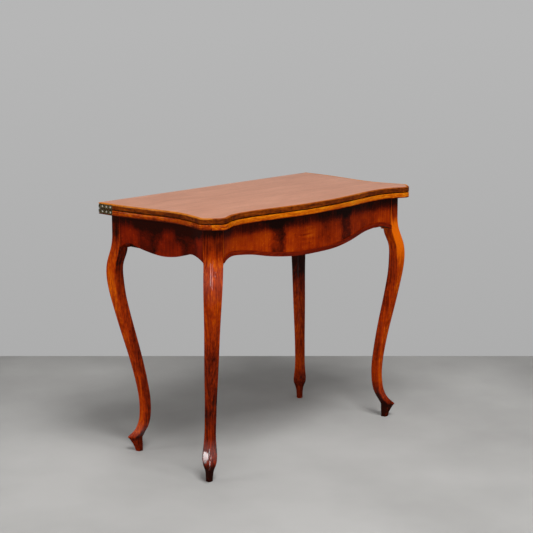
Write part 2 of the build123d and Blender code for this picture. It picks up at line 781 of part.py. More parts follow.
def back_rail():
    """The straight back rail with its tenons and the housing for the pivot rail."""
    rail = box(-post_inner_x, post_inner_x, back_rail_inside_y, -back_post_reach, frame_height - back_rail_drop,
               frame_height)
    for tenon in both_sides(cross_tenon(-1, 0, 0)):
        rail += tenon
    half = pivot_rail_width / 2
    rail -= box(pivot_x - half, pivot_x + half, back_rail_inside_y - overrun, back_rail_inside_y + housing_depth,
                frame_height - pivot_rail_thickness, frame_height + overrun)
    for spot in cleat_screw_places():
        rail -= spot * screw(cleat_screw_length, fit_clearance)
    return rail


# The well and the blocks

def cleat_span():
    """The two ends of a cleat."""
    return -(side_apron_inside - cleat_end_gap), divider_x - cleat_divider_gap


def cleat_faces():
    """For the front and the back cleat, the line it is fixed to and the way inward from it."""
    return [(-front_apron_inside, 1), (back_rail_inside_y, -1)]


def cleats():
    """The strips that carry the well's bottom."""
    x0, x1 = cleat_span()
    strips = []
    for wall, inward in cleat_faces():
        strip = box(x0, x1, wall, wall + inward * cleat_size, well_board_z - cleat_size, well_board_z)
        for spot in cleat_screw_places():
            strip -= spot * screw(cleat_screw_length, fit_clearance)
        strips.append(strip)
    return strips


def cleat_screw_places():
    """Three screws in each cleat, with their heads on its inner face."""
    x0, x1 = cleat_span()
    spots = []
    for wall, inward in cleat_faces():
        for share in cleat_screw_shares:
            turn = Rot(-90, 0, 0) if inward == 1 else Rot(90, 0, 0)
            spots.append(Pos(x0 + share * (x1 - x0), wall + inward * cleat_size, well_board_z - cleat_size / 2) * turn)
    return spots


def well_bottom():
    """The board under the well."""
    return box(-side_apron_inside, divider_x + divider_thickness, -front_apron_inside, back_rail_inside_y,
               well_board_z, well_floor_z)


def well_divider():
    """The board that closes the well under the pivot rail."""
    return box(divider_x, divider_x + divider_thickness, -front_apron_inside, back_rail_inside_y, well_floor_z,
               frame_height - pivot_rail_thickness)


def corner_blocks():
    """A glue block in each inside corner of the frame."""
    z1 = well_board_z - block_gap
    front = Polyline((side_apron_inside, -front_apron_inside), (side_apron_inside - block_size, -front_apron_inside),
                     (side_apron_inside, -front_apron_inside + block_size), close=True)
    back = Polyline((side_apron_inside, back_rail_inside_y), (side_apron_inside - block_size, back_rail_inside_y),
                    (side_apron_inside, back_rail_inside_y - back_block_length), close=True)
    blocks = []
    for shape, height in ((front, block_height), (back, back_block_height)):
        blocks += both_sides(Pos(0, 0, z1 - height) * extrude(make_face(shape), height))
    return blocks


# Every node of the table

front_leg = finished_leg(front_post_y, front_seam_y, front_foot_x, -front_foot_reach, -45, 1)
back_leg = finished_leg(back_post_y, back_seam_y, back_foot_x, -back_foot_reach, 45, -1)
# The origin is on the floor under the middle of the whole table, whose back knees reach behind the top
back_reach = back_leg.bounding_box().max.Y
origin_shift = (top_depth - back_reach) / 2
front_right, front_left = both_sides(front_leg)
back_right, back_left = both_sides(back_leg)
save("leg_front_left", front_left)
save("leg_front_right", front_right)
save("leg_back_left", back_left)
save("leg_back_right", back_right)
save("front_apron", front_apron())
veneer_left, veneer_right = front_veneers()
save("front_veneer_left", veneer_left)
save("front_veneer_right", veneer_right)
save("front_bead", front_bead())
apron_right, apron_left = both_sides(side_apron())
save("side_apron_left", apron_left)
save("side_apron_right", apron_right)
save("back_rail", back_rail())
save("pivot_rail", pivot_rail())
save("pivot_bushing", pivot_bushing())
save("well_bottom", well_bottom())
save("well_divider", well_divider())
save("well_cleats", *cleats())
save("cleat_screws", *[spot * screw(cleat_screw_length) for spot in cleat_screw_places()])
save("corner_blocks", *corner_blocks())
save_leaf("lower", lower_leaf_z, mating_z, 1, swivel_cuts())
save("pivot_flange", pivot_flange())
save("flange_screws", *[spot * screw(flange_screw_length) for spot in flange_screw_places()])
save("pivot_washer", pivot_washer())
save("pivot_nut", pivot_nut())
save("stop_dowel", stop_dowel())
link_right, link_left = both_sides(hinge_link())
save("hinge_link_left", link_left)
save("hinge_link_right", link_right)
save_leaf("upper", upper_leaf_z, upper_leaf_z, -1, [])
print("origin shift", round(origin_shift, 3), "back reach", round(back_reach, 3))
print("swivel", pivot_x, pivot_y + origin_shift, "fold y", fold_y + origin_shift, "pins", lower_pin_z, upper_pin_z)
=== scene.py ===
# %% [markdown]
# # A folding card table
#
# The real table has a serpentine top in two leaves, lying one on the other. They are hinged at the
# back and turn on a swivel, over a shallow shaped frame on four slender cabriole legs. Every solid
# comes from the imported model, so this script dresses it: polished wood, old brass, steel, felt, and
# a plain studio round it. Everything is in metres, with the floor at z = 0 and the front at -y.

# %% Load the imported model
import json
import math

import bpy
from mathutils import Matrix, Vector

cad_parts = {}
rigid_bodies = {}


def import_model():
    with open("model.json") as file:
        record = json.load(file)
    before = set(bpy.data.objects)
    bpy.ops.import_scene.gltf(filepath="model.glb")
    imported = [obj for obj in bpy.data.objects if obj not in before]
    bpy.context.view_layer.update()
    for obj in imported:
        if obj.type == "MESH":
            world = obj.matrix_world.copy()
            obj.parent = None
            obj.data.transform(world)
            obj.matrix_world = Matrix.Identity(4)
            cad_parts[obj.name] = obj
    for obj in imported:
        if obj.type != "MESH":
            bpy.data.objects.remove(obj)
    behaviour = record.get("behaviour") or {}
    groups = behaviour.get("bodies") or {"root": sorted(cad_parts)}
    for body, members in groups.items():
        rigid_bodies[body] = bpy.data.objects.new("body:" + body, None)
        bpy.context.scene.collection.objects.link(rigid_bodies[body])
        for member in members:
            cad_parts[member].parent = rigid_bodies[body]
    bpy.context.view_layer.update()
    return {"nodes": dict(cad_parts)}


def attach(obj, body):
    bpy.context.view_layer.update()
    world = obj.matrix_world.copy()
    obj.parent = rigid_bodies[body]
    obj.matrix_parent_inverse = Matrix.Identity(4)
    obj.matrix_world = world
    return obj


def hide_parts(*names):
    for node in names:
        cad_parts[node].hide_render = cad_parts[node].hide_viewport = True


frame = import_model()
nodes = frame["nodes"]

# %% [markdown]
# Operators act on whatever is selected, and loading leaves the whole table selected. This helper
# starts each modelling step from a clean selection.

# %% Select only some objects
def select_only(*objects):
    """Select just these objects, the last one active."""
    for thing in bpy.context.scene.objects:
        thing.select_set(False)
    for thing in objects:
        thing.select_set(True)
        bpy.context.view_layer.objects.active = thing


select_only()
print("selected", len(bpy.context.selected_objects))

# %% [markdown]
# Colours are easiest to choose as sRGB hex values, as a paint chart or a photo editor shows them.
# The shader works in linear light, so one function turns a hex value into linear numbers. The
# curve's own numbers come from the sRGB standard.

# %% Hex colours to linear light
byte_most = 255
dark_limit, dark_slope = 0.04045, 12.92
curve_offset, curve_power = 0.055, 2.4


def linear(hex_colour):
    """An sRGB hex colour as linear red, green and blue with full alpha."""
    channels = [int(hex_colour[place:place + 2], 16) / byte_most for place in (1, 3, 5)]
    light = [c / dark_slope if c <= dark_limit
             else ((c + curve_offset) / (1 + curve_offset)) ** curve_power for c in channels]
    return tuple(light + [1.0])


print("mid grey", [round(c, 3) for c in linear("#808080")])

# %% [markdown]
# A material is a small network of nodes. One helper adds a node and sets it up. Each of its inputs
# gets a number, a colour or another node, whose result is then linked in. A colour ramp also takes
# its stops: places from 0 to 1, each with a colour. A Mix node has several sockets of one name, so
# the places of the ones used here are named once.

# %% One helper for nodes
number_a, number_b, mixed_number = 2, 3, 0
colour_a, colour_b, mixed_colour = 6, 7, 2


def add(tree, kind, inputs=None, stops=(), **settings):
    """Add a node; inputs maps a socket's name or place to a value, a node or a node's output."""
    made = tree.nodes.new(kind)
    for name, value in settings.items():
        setattr(made, name, value)
    for name, value in (inputs or {}).items():
        if isinstance(value, bpy.types.Node):
            value = next(socket for socket in value.outputs if socket.enabled)
        if isinstance(value, bpy.types.NodeSocket):
            tree.links.new(value, made.inputs[name])
        else:
            made.inputs[name].default_value = value
    # A new ramp has two stops already
    for place, _ in stops[2:]:
        made.color_ramp.elements.new(place)
    for element, (place, colour) in zip(made.color_ramp.elements if stops else (), stops):
        element.position = place
        element.color = linear(colour)
    return made


def start_material(name):
    """A new empty material, its nodes, and where a point lies on the table."""
    material = bpy.data.materials.new(name)
    material.use_nodes = True
    tree = material.node_tree
    tree.nodes.clear()
    place = add(tree, "ShaderNodeTexCoord").outputs["Object"]
    return material, tree, place


print("made", add.__name__, "and", start_material.__name__)

# %% [markdown]
# Patterns are measured in millimetres, but a noise texture counts its blobs per metre, so each
# scale is worked out from a size. Grain is drawn out along a board: it has a small size across the
# board and a long one along it.

# %% Pattern sizes in millimetres
mm_in_metre = 1000


def per_metre(size):
    """How many blobs of a size in millimetres go into a metre."""
    return round(mm_in_metre / size)


def grain_scale(along, across, length):
    """Scales for the three axes, from a size across the grain and one along it."""
    return [per_metre(length if axis == along else across) for axis in "xyz"]


print("streaks of 4 mm in a metre", per_metre(4))

# %% [markdown]
# The colour of a wood comes from one number, its tone, which a colour ramp turns into brown at the
# end. Stain, wear and dirt each add to that number or take from it, where some measure, such as the
# height or the way a face points, runs over a span. One helper makes such a change, and another
# measures how far a point is from a joint.

# %% Change the tone where a measure says so
def toned(tree, tone, measure, span, change, smooth=False, share=None):
    """Add the first change before the span and the second past it; share makes it weaker."""
    step = add(tree, "ShaderNodeMapRange",
               {"Value": measure, "From Min": span[0], "From Max": span[1],
                "To Min": change[0], "To Max": change[1]},
               interpolation_type="SMOOTHSTEP" if smooth else "LINEAR")
    if share is None:
        return add(tree, "ShaderNodeMath", {0: tone, 1: step}, operation="ADD")
    return add(tree, "ShaderNodeMath", {0: step, 1: share, 2: tone}, operation="MULTIPLY_ADD")


def distance_to(tree, coordinate, joint):
    """How far a point is from a joint, on either side of it."""
    apart = add(tree, "ShaderNodeMath", {0: coordinate, 1: joint}, operation="SUBTRACT")
    return add(tree, "ShaderNodeMath", {0: apart}, operation="ABSOLUTE")


print("made", toned.__name__, "and", distance_to.__name__)

# %% [markdown]
# French-polished mahogany is a red-brown hardwood, stained, then rubbed with shellac until it has a
# thin clear gloss. Growth streaks a few millimetres wide run along each piece, over wider bands and
# patches of light and dark, and the stain takes in uneven blots. Noise drawn out along the grain
# gives the streaks, and a slow sideways sway keeps them from running dead straight.

# %% The tone of a stained board
noise_middle = 0.5
sway_size, sway_length, sway_reach = 125, 333, 0.03
streak_size, streak_length, streak_share = 3.85, 167, 0.50
band_size, band_length, band_share = 9.1, 250, 0.25
patch_size, patch_length, patch_share = 83, 143, 0.25
blot_size = 10.5


def board_tone(tree, place, along, streak, band, mottle):
    """The tone of a board, and the swaying coordinates that its grain follows."""
    slow = add(tree, "ShaderNodeMapping",
               {"Vector": place, "Scale": grain_scale(along, sway_size, sway_length)})
    sway = add(tree, "ShaderNodeTexNoise", {"Vector": slow, "Scale": 1.0, "Detail": 2.0})
    sway = add(tree, "ShaderNodeVectorMath",
               {0: sway.outputs["Color"], 1: [noise_middle] * 3}, operation="SUBTRACT")
    sway = add(tree, "ShaderNodeVectorMath", {0: sway, "Scale": sway_reach}, operation="SCALE")
    bent = add(tree, "ShaderNodeVectorMath", {0: place, 1: sway}, operation="ADD")
    tone = 0.0
    # Each layer has its coordinates, size across and along, detail, roughness and share
    for source, across, length, detail, roughness, share in (
            (bent, streak, streak_length, 5.0, 0.7, streak_share),
            (bent, band, band_length, 3.0, 0.5, band_share),
            (place, patch_size, patch_length, 3.0, 0.5, patch_share)):
        drawn = add(tree, "ShaderNodeMapping",
                    {"Vector": source, "Scale": grain_scale(along, across, length)})
        layer = add(tree, "ShaderNodeTexNoise",
                    {"Vector": drawn, "Scale": 1.0, "Detail": detail, "Roughness": roughness})
        tone = add(tree, "ShaderNodeMath", {0: layer, 1: share, 2: tone},
                   operation="MULTIPLY_ADD")
    blots = add(tree, "ShaderNodeTexNoise", {"Vector": place, "Scale": per_metre(blot_size),
                                             "Detail": 4.0, "Roughness": 0.6})
    tone = toned(tree, tone, blots, (0.0, 1.0), (-mottle, mottle))
    return tone, bent


print("streak scales of an upright board", grain_scale("z", streak_size, streak_length))

# %% [markdown]
# Wear and painted light then change the tone from place to place. A Bevel node gives the normal of a
# rounded corner, which differs from the face's own only near an edge, so it finds the arrises, the
# sharp edges, which are made lighter: partly wear from hands and cloths, partly a painted highlight.
# A normal set against the way out of the table tells the faces that look into the frame, which get
# painted shade, as the undersides do. Beside the joints of posts and aprons lies a thin painted
# highlight.

# %% Wear and painted light from place to place
inner_arris_span, inner_arris_painted_shade = (-0.2, 0.8), 0.08
inner_face_span = (-1.0, -0.4)
inner_height, inner_least = (0.40, 0.62), 0.10
underside_span, underside_painted_shade = (-0.9, -0.1), 0.15
arris_radius, arris_span = 0.002, (0.80, 0.99)
joint_height, joint_painted_highlight = (0.620, 0.640), 0.18
# The painted highlight beside a joint is drawn 3 mm wide, wider than a real lit edge, so that it
# shows
joint_highlight_line = (0.0010, 0.0020)


def wear_and_painted_light_tone(tree, tone, parts, own, rounded, inner_painted_shade, worn, joints):
    """The tone after wear and painted light; own and rounded are the normals of face and corner."""
    if inner_painted_shade:
        way_out = add(tree, "ShaderNodeCombineXYZ", {0: parts["X"], 1: parts["Y"]})
        way_out = add(tree, "ShaderNodeVectorMath", {0: way_out}, operation="SIGN")
        # Painted shade: the inner arrises are darker along the whole leg
        turned = add(tree, "ShaderNodeVectorMath", {0: rounded, 1: way_out},
                     operation="DOT_PRODUCT").outputs["Value"]
        tone = toned(tree, tone, turned, inner_arris_span, (-inner_arris_painted_shade, 0.0))
        # Painted shade: the faces towards the frame are darkest near the top
        facing = add(tree, "ShaderNodeVectorMath", {0: own, 1: way_out},
                     operation="DOT_PRODUCT").outputs["Value"]
        upper = add(tree, "ShaderNodeMapRange",
                    {"Value": parts["Z"], "From Min": inner_height[0],
                     "From Max": inner_height[1], "To Min": inner_least},
                    interpolation_type="SMOOTHSTEP")
        tone = toned(tree, tone, facing, inner_face_span, (-inner_painted_shade, 0.0), share=upper)
    # Painted shade: undersides are darker
    under = add(tree, "ShaderNodeSeparateXYZ", {0: own}).outputs["Z"]
    tone = toned(tree, tone, under, underside_span, (-underside_painted_shade, 0.0))
    # Arrises are lighter: partly wear, partly a painted highlight
    soft = add(tree, "ShaderNodeBevel", {"Radius": arris_radius}, samples=4)
    arris = add(tree, "ShaderNodeVectorMath", {0: soft, 1: own},
                operation="DOT_PRODUCT").outputs["Value"]
    tone = toned(tree, tone, arris, arris_span, (worn, 0.0))
    # A painted highlight beside each joint of a post and an apron, where the edge catches light
    for axis, joint in joints:
        post = add(tree, "ShaderNodeMapRange",
                   {"Value": parts["Z"], "From Min": joint_height[0],
                    "From Max": joint_height[1], "To Max": joint_painted_highlight})
        beside = distance_to(tree, parts[axis], joint)
        tone = toned(tree, tone, beside, joint_highlight_line, (1.0, 0.0), share=post)
    return tone


# The rubbed line is the painted highlight beside a joint
print("rubbed line in mm", round((joint_highlight_line[0] + joint_highlight_line[1]) * mm_in_metre, 2))

# %% [markdown]
# Short dark pores lie in the streaks. They darken the wood and dent it a little. Where a board is
# only faced with veneer, its upright edges show the stained wood under it.

# %% Pores and bare edges
# Pores are drawn about 1 mm wide, wider than real ones, so that they show
pore_size, pore_length = 1.111, 33
pore_span, pore_most, pore_colour = (0.56, 0.74), 0.5, "#240800"
side_span, side_most = (0.2, 0.8), 0.85


def pored(tree, colour, bent, along):
    """The colour with pores drawn over it, and where they are."""
    pore = add(tree, "ShaderNodeMapping",
               {"Vector": bent, "Scale": grain_scale(along, pore_size, pore_length)})
    pore = add(tree, "ShaderNodeTexNoise", {"Vector": pore, "Scale": 1.0, "Detail": 2.0})
    pore = add(tree, "ShaderNodeMapRange", {"Value": pore, "From Min": pore_span[0],
                                            "From Max": pore_span[1], "To Max": pore_most})
    dark = add(tree, "ShaderNodeMix",
               {0: pore, colour_a: colour, colour_b: linear(pore_colour)}, data_type="RGBA")
    return dark.outputs[mixed_colour], pore


def edged(tree, colour, own, sides):
    """The colour with another one on the faces that stand upright."""
    flat = add(tree, "ShaderNodeSeparateXYZ", {0: own}).outputs["Z"]
    flat = add(tree, "ShaderNodeMath", {0: flat}, operation="ABSOLUTE")
    edge = add(tree, "ShaderNodeMapRange",
               {"Value": flat, "From Min": side_span[0], "From Max": side_span[1],
                "To Min": side_most, "To Max": 0.0})
    both = add(tree, "ShaderNodeMix",
               {0: edge, colour_a: colour, colour_b: linear(sides)}, data_type="RGBA")
    return both.outputs[mixed_colour]


print("pores in a metre", per_metre(pore_size))

# %% [markdown]
# The shellac lies over the wood as the shader's coat. It is worn so thin that it counts for a
# twentieth of a full coat, and for more only where hands, cloths and shoes rub it. A coat IOR of
# 2.0, above shellac's 1.5, lets the little that is left mirror the lamps from the front too. The
# wood under it mirrors nothing, because wood and shellac bend light almost alike. The polish lies
# in slow waves and rounds every corner over.

# %% The worn polish
wave_size, wave_length = 25, 83
shellac_ior, worn_coat_ior = 1.5, 2.0


def coat_weight(tree, parts, coat, rubbed):
    """How much coat is left, by height."""
    gloss = coat
    # Each rubbed zone is the heights where it begins, is fullest and ends, and how full it is
    for low, fullest, high, most in rubbed:
        fall = add(tree, "ShaderNodeMapRange",
                   {"Value": parts["Z"], "From Min": fullest, "From Max": high,
                    "To Min": 1.0, "To Max": 0.0}, interpolation_type="SMOOTHSTEP")
        gloss = toned(tree, gloss, parts["Z"], (low, fullest), (0.0, most - coat),
                      smooth=True, share=fall)
    return gloss


def coat_waves(tree, place, along, rounded):
    """The waves of the polish over rounded corners."""
    wave = add(tree, "ShaderNodeMapping",
               {"Vector": place, "Scale": grain_scale(along, wave_size, wave_length)})
    wave = add(tree, "ShaderNodeTexNoise", {"Vector": wave, "Scale": 1.0, "Detail": 2.0})
    return add(tree, "ShaderNodeBump", {"Height": wave, "Strength": 0.2, "Distance": 0.0012,
                                        "Normal": rounded})


print("waves in a metre", per_metre(wave_size))

# %% [markdown]
# Together these steps make the finish of every polished piece. The pieces differ in their grain,
# in their colours, in where they are stained, worn and rubbed, and in where painted light and shade
# lie on them, so the function takes those.

# %% Polished wood along its own grain
rounded_radius = 0.005
wood_roughness = 0.45


def polished_wood(name, along, stops, streak=streak_size, band=band_size, coat=0.06,
                  polish=0.12, bend=worn_coat_ior, tones=(), rubbed=(), inner_painted_shade=0.0, worn=0.12,
                  joints=(), sides=None, mottle=0.0):
    """Polished hardwood with its grain along one axis; tones and rubbed go by height."""
    material, tree, place = start_material(name)
    tone, bent = board_tone(tree, place, along, streak, band, mottle)
    parts = add(tree, "ShaderNodeSeparateXYZ", {0: place}).outputs
    # Each tone is two heights, and the changes below the first and above the second
    for low, high, at_low, at_high in tones:
        tone = toned(tree, tone, parts["Z"], (low, high), (at_low, at_high), smooth=True)
    own = add(tree, "ShaderNodeNewGeometry").outputs["Normal"]
    rounded = add(tree, "ShaderNodeBevel", {"Radius": rounded_radius}, samples=8)
    tone = wear_and_painted_light_tone(tree, tone, parts, own, rounded, inner_painted_shade, worn, joints)
    colour = add(tree, "ShaderNodeValToRGB", {0: tone}, stops=stops).outputs["Color"]
    colour, pore = pored(tree, colour, bent, along)
    if sides:
        colour = edged(tree, colour, own, sides)
    dent = add(tree, "ShaderNodeBump", {"Height": pore, "Strength": 0.15, "Distance": 0.0002})
    shader = add(tree, "ShaderNodeBsdfPrincipled", {
        "Base Color": colour, "Roughness": wood_roughness, "Specular IOR Level": 0.0,
        "Normal": dent, "Coat Weight": coat_weight(tree, parts, coat, rubbed),
        "Coat Roughness": polish, "Coat IOR": bend,
        "Coat Normal": coat_waves(tree, place, along, rounded)})
    add(tree, "ShaderNodeOutputMaterial", {"Surface": shader})
    return material


print("corners rounded by mm", round(rounded_radius * mm_in_metre, 2))

# %% [markdown]
# Each leg is cut from its own board and stands in its own light, so each has its own tone at the
# ankle, along its length, at the knee and in its post, partly the board's and partly painted light
# and shade. All are dark at the foot, and a painted shadow of the top darkens them under it. Thin
# painted highlights show where the aprons meet the posts, so the places of those joints are written
# once, for the posts and for the veneers.

# %% Wood for the legs
side_joints = (-0.3639, 0.3639)
front_joint, back_joint = -0.1562, 0.1805
post_joints = [("X", side_joints[0]), ("X", side_joints[1]),
               ("Y", front_joint), ("Y", back_joint)]
leg_stops = [(0.27, "#280700"), (0.38, "#6e1900"), (0.50, "#a63200"), (0.64, "#da6200")]
foot_dark = (0.036, 0.060, -0.10, 0.0)
# A painted shadow of the top darkens the legs just under it
under_top_painted_shadow = (0.670, 0.698, 0.0, -0.17)
ankle_height, shin_height = (0.07, 0.14), (0.25, 0.56)
knee_height, post_height, post_light = (0.50, 0.57), (0.61, 0.66), 0.04
# Changes of tone at the ankle, along the length, at the knee and in the post: partly painted light
# and shade
leg_tones_and_painted_light = {"front_left": (0.0, -0.19, -0.05, -0.09),
             "front_right": (-0.10, -0.02, 0.16, -0.25),
             "back_left": (0.0, -0.05, -0.01, -0.15),
             "back_right": (-0.04, 0.03, 0.0, -0.28)}
# Painted shade: the back right leg is darker above its middle
painted_shade_upper_leg = {"back_right": (0.33, 0.45, 0.0, -0.20)}
faint_toe_rub = (0.045, 0.075, 0.12, 0.12)
leg_rubbed = {"front_left": [(0.045, 0.075, 0.12, 0.8), (0.49, 0.57, 0.63, 0.34)],
              "front_right": [faint_toe_rub], "back_left": [(0.040, 0.060, 0.10, 0.4)],
              "back_right": [faint_toe_rub]}
# Lighter arrises on each leg: partly wear, partly a painted highlight
leg_wear_and_highlight = {"front_left": 0.05, "front_right": 0.10, "back_left": 0.05, "back_right": 0.25}
leg_wood = {}
for corner, (ankle, lower, knee, post) in leg_tones_and_painted_light.items():
    rows = [foot_dark, under_top_painted_shadow, (*ankle_height, ankle, 0.0), (*shin_height, lower, 0.0),
            (*knee_height, 0.0, knee), (*post_height, post_light, post)]
    if corner in painted_shade_upper_leg:
        rows.append(painted_shade_upper_leg[corner])
    leg_wood[corner] = polished_wood(
        "french_polished_mahogany_" + corner, "z", leg_stops, coat=0.045, polish=0.08,
        tones=rows, rubbed=leg_rubbed[corner], inner_painted_shade=0.10, worn=leg_wear_and_highlight[corner],
        joints=post_joints, mottle=0.10)
print("leg wood nodes", len(leg_wood["front_left"].node_tree.nodes))

# %% [markdown]
# The lippings are narrow strips bent round the leaves' edges. Their faces are rounded by wear, and
# the light from above is painted into them: the lower strip is painted golden along its upper half
# and red-brown below, the upper strip has a painted highlight along its rim over a darker, blotched
# face, and both have painted shade along their lower edges. The side strips are painted in other
# light than the front ones, and the lower strips' golden colours are partly painted light too. Tones
# that change with height draw all this. The bead under the apron is a plain dark red moulding.

# %% Wood for the lippings and the bead
lower_stops = [(0.28, "#421000"), (0.41, "#943000"), (0.54, "#c86200"), (0.68, "#e08c12")]
upper_stops = [(0.28, "#200600"), (0.41, "#5a2000"), (0.54, "#8a3c00"), (0.68, "#be701e")]
bead_stops = [(0.30, "#240400"), (0.42, "#500c00"), (0.54, "#6e1600"), (0.68, "#8c2a00")]
# Painted light and shade, each as two heights in metres and the changes below the first and above the
# second
lower_edge_painted_shade, upper_edge_painted_shade = (0.708, 0.7125, -0.22, 0.0), (0.725, 0.7275, -0.14, 0.0)
lower_face_painted_light = {"x": (0.711, 0.720, 0.01, 0.05), "y": (0.711, 0.720, -0.10, -0.04)}
upper_rim_painted_highlight = {"x": (0.7372, 0.7395, -0.06, 0.06), "y": (0.7355, 0.7385, -0.03, 0.18)}
lower_lipping = {
    "x": polished_wood("golden_front_lipping", "x", lower_stops, mottle=0.10,
                       tones=[lower_edge_painted_shade, lower_face_painted_light["x"]]),
    "y": polished_wood("golden_side_lipping", "y", lower_stops, mottle=0.12,
                       tones=[lower_edge_painted_shade, lower_face_painted_light["y"]])}
upper_lipping = {
    "x": polished_wood("blotched_front_lipping", "x", upper_stops, mottle=0.14,
                       tones=[upper_edge_painted_shade, upper_rim_painted_highlight["x"]]),
    "y": polished_wood("blotched_side_lipping", "y", upper_stops, mottle=0.14,
                       tones=[upper_edge_painted_shade, upper_rim_painted_highlight["y"]])}
bead_wood = polished_wood("red_mahogany_bead", "x", bead_stops)
print("lipping woods", len(lower_lipping) + len(upper_lipping))

# %% [markdown]
# The frame is faced with crotch veneer, cut where a branch leaves the trunk. Sheets are opened like
# a book and laid with their figure mirrored, so dark plumes stand on both sides of the middle joint
# and feathered streaks curve out of them. Taking the distance from the joint mirrors the pattern,
# and the feather is noise read along lines that climb away from the plume.

# %% The figure of a book match
plume_wander_size, plume_wander = 77, 0.15
plume_height, plume_spread = (0.600, 0.700), (1.7, 0.75)
feather_climb = 1.1
feather_sizes = (45.5, 7.7)
stripe_sizes = (4.35, 111)
blotch_size = 55.5
outside_share, grain_share, blotch_share = 0.20, 0.36, 0.44
figure_base = -0.11


def book_match(tree, place, parts, from_joint, plume, plume_width, lift):
    """The tone of mirrored sheets with a plume that far from the joint, and their blotches."""
    side = add(tree, "ShaderNodeMath", {0: from_joint}, operation="ABSOLUTE")
    opened = add(tree, "ShaderNodeCombineXYZ", {"X": side, "Z": parts["Z"]})
    wander = add(tree, "ShaderNodeTexNoise",
                 {"Vector": opened, "Scale": per_metre(plume_wander_size), "Detail": 4.0,
                  "Roughness": 0.6})
    wander = add(tree, "ShaderNodeMath", {0: wander, 1: noise_middle}, operation="SUBTRACT")
    away = add(tree, "ShaderNodeMath", {0: side, 1: plume}, operation="SUBTRACT")
    away = add(tree, "ShaderNodeMath", {0: wander, 1: plume_wander, 2: away},
               operation="MULTIPLY_ADD")
    away = add(tree, "ShaderNodeMath", {0: away}, operation="ABSOLUTE")
    # The plume is a flame: narrow at the lower edge and spreading to the top
    spread = add(tree, "ShaderNodeMapRange",
                 {"Value": parts["Z"], "From Min": plume_height[0], "From Max": plume_height[1],
                  "To Min": plume_spread[0], "To Max": plume_spread[1]})
    away = add(tree, "ShaderNodeMath", {0: away, 1: spread}, operation="MULTIPLY")
    climb = add(tree, "ShaderNodeMath", {0: away, 1: -feather_climb, 2: parts["Z"]},
                operation="MULTIPLY_ADD")
    feather = add(tree, "ShaderNodeCombineXYZ", {"X": away, "Z": climb})
    # Feathers in the plume, upright stripes outside it
    grains = []
    for source, (across, length), distortion in ((feather, feather_sizes, 0.5),
                                                 (opened, stripe_sizes, 0.3)):
        drawn = add(tree, "ShaderNodeMapping",
                    {"Vector": source, "Scale": (per_metre(across), 1, per_metre(length))})
        grains.append(add(tree, "ShaderNodeTexNoise",
                          {"Vector": drawn, "Scale": 1.0, "Detail": 5.0, "Roughness": 0.65,
                           "Distortion": distortion}))
    outside = add(tree, "ShaderNodeMapRange",
                  {"Value": away, "From Min": 0.0, "From Max": plume_width},
                  interpolation_type="SMOOTHSTEP")
    grain = add(tree, "ShaderNodeMix", {0: outside, number_a: grains[0], number_b: grains[1]})
    blotch = add(tree, "ShaderNodeTexNoise", {"Vector": place, "Scale": per_metre(blotch_size),
                                              "Detail": 5.0, "Roughness": 0.6})
    tone = lift + figure_base
    for layer, share in ((outside, outside_share), (grain.outputs[mixed_number], grain_share),
                         (blotch, blotch_share)):
        tone = add(tree, "ShaderNodeMath", {0: layer, 1: share, 2: tone},
                   operation="MULTIPLY_ADD")
    return tone, blotch


print("stripes in a metre", per_metre(stripe_sizes[0]))

# %% [markdown]
# Over that figure lie short golden flecks, and on the front one patch where the fibres curl and
# show as faint crosswise streaks, with a darker patch beside it. A sheet that is turned over
# reflects less, so one half of the match is painted darker, a painted difference in sheen. Under
# the top the veneer is painted darker, a painted shadow of the top, and dirt gathers in the joints
# beside a thin painted highlight where the edge catches light.

# %% Crotch veneer
fleck_size, fleck_span, fleck_light = 5.26, (0.58, 0.74), 0.14
curl_spot, curl_sizes, curl_slant = (0.01, 0.05), (83, 6.25), math.radians(12)
curl_span, curl_change = (0.35, 0.7), (-0.05, 0.10)
shadow_offset, shadow_spot, shadow_dark = 0.085, (0.01, 0.06), 0.09
top_shade_height, top_shade = (0.662, 0.696), 0.26
dirt_line, dirt_dark = (0.001, 0.005), 0.22
seam_highlight_line, seam_painted_highlight = (0.0008, 0.0016), 0.42
veneer_coat, veneer_polish = 0.045, 0.12


def curled_patch(tree, tone, place, middle):
    """A patch of curled fibres round a point, with a darker patch to the right of it."""
    apart = add(tree, "ShaderNodeVectorMath", {0: place, 1: middle},
                operation="DISTANCE").outputs["Value"]
    lines = add(tree, "ShaderNodeMapping",
                {"Vector": place, "Rotation": (0, curl_slant, 0),
                 "Scale": (per_metre(curl_sizes[0]), 1, per_metre(curl_sizes[1]))})
    lines = add(tree, "ShaderNodeTexNoise", {"Vector": lines, "Scale": 1.0, "Detail": 2.0})
    lines = add(tree, "ShaderNodeMapRange",
                {"Value": lines, "From Min": curl_span[0], "From Max": curl_span[1],
                 "To Min": curl_change[0], "To Max": curl_change[1]})
    tone = toned(tree, tone, apart, curl_spot, (1.0, 0.0), smooth=True, share=lines)
    shadow = (middle[0] + shadow_offset, middle[1], middle[2])
    apart = add(tree, "ShaderNodeVectorMath", {0: place, 1: shadow},
                operation="DISTANCE").outputs["Value"]
    return toned(tree, tone, apart, shadow_spot, (-shadow_dark, 0.0), smooth=True)


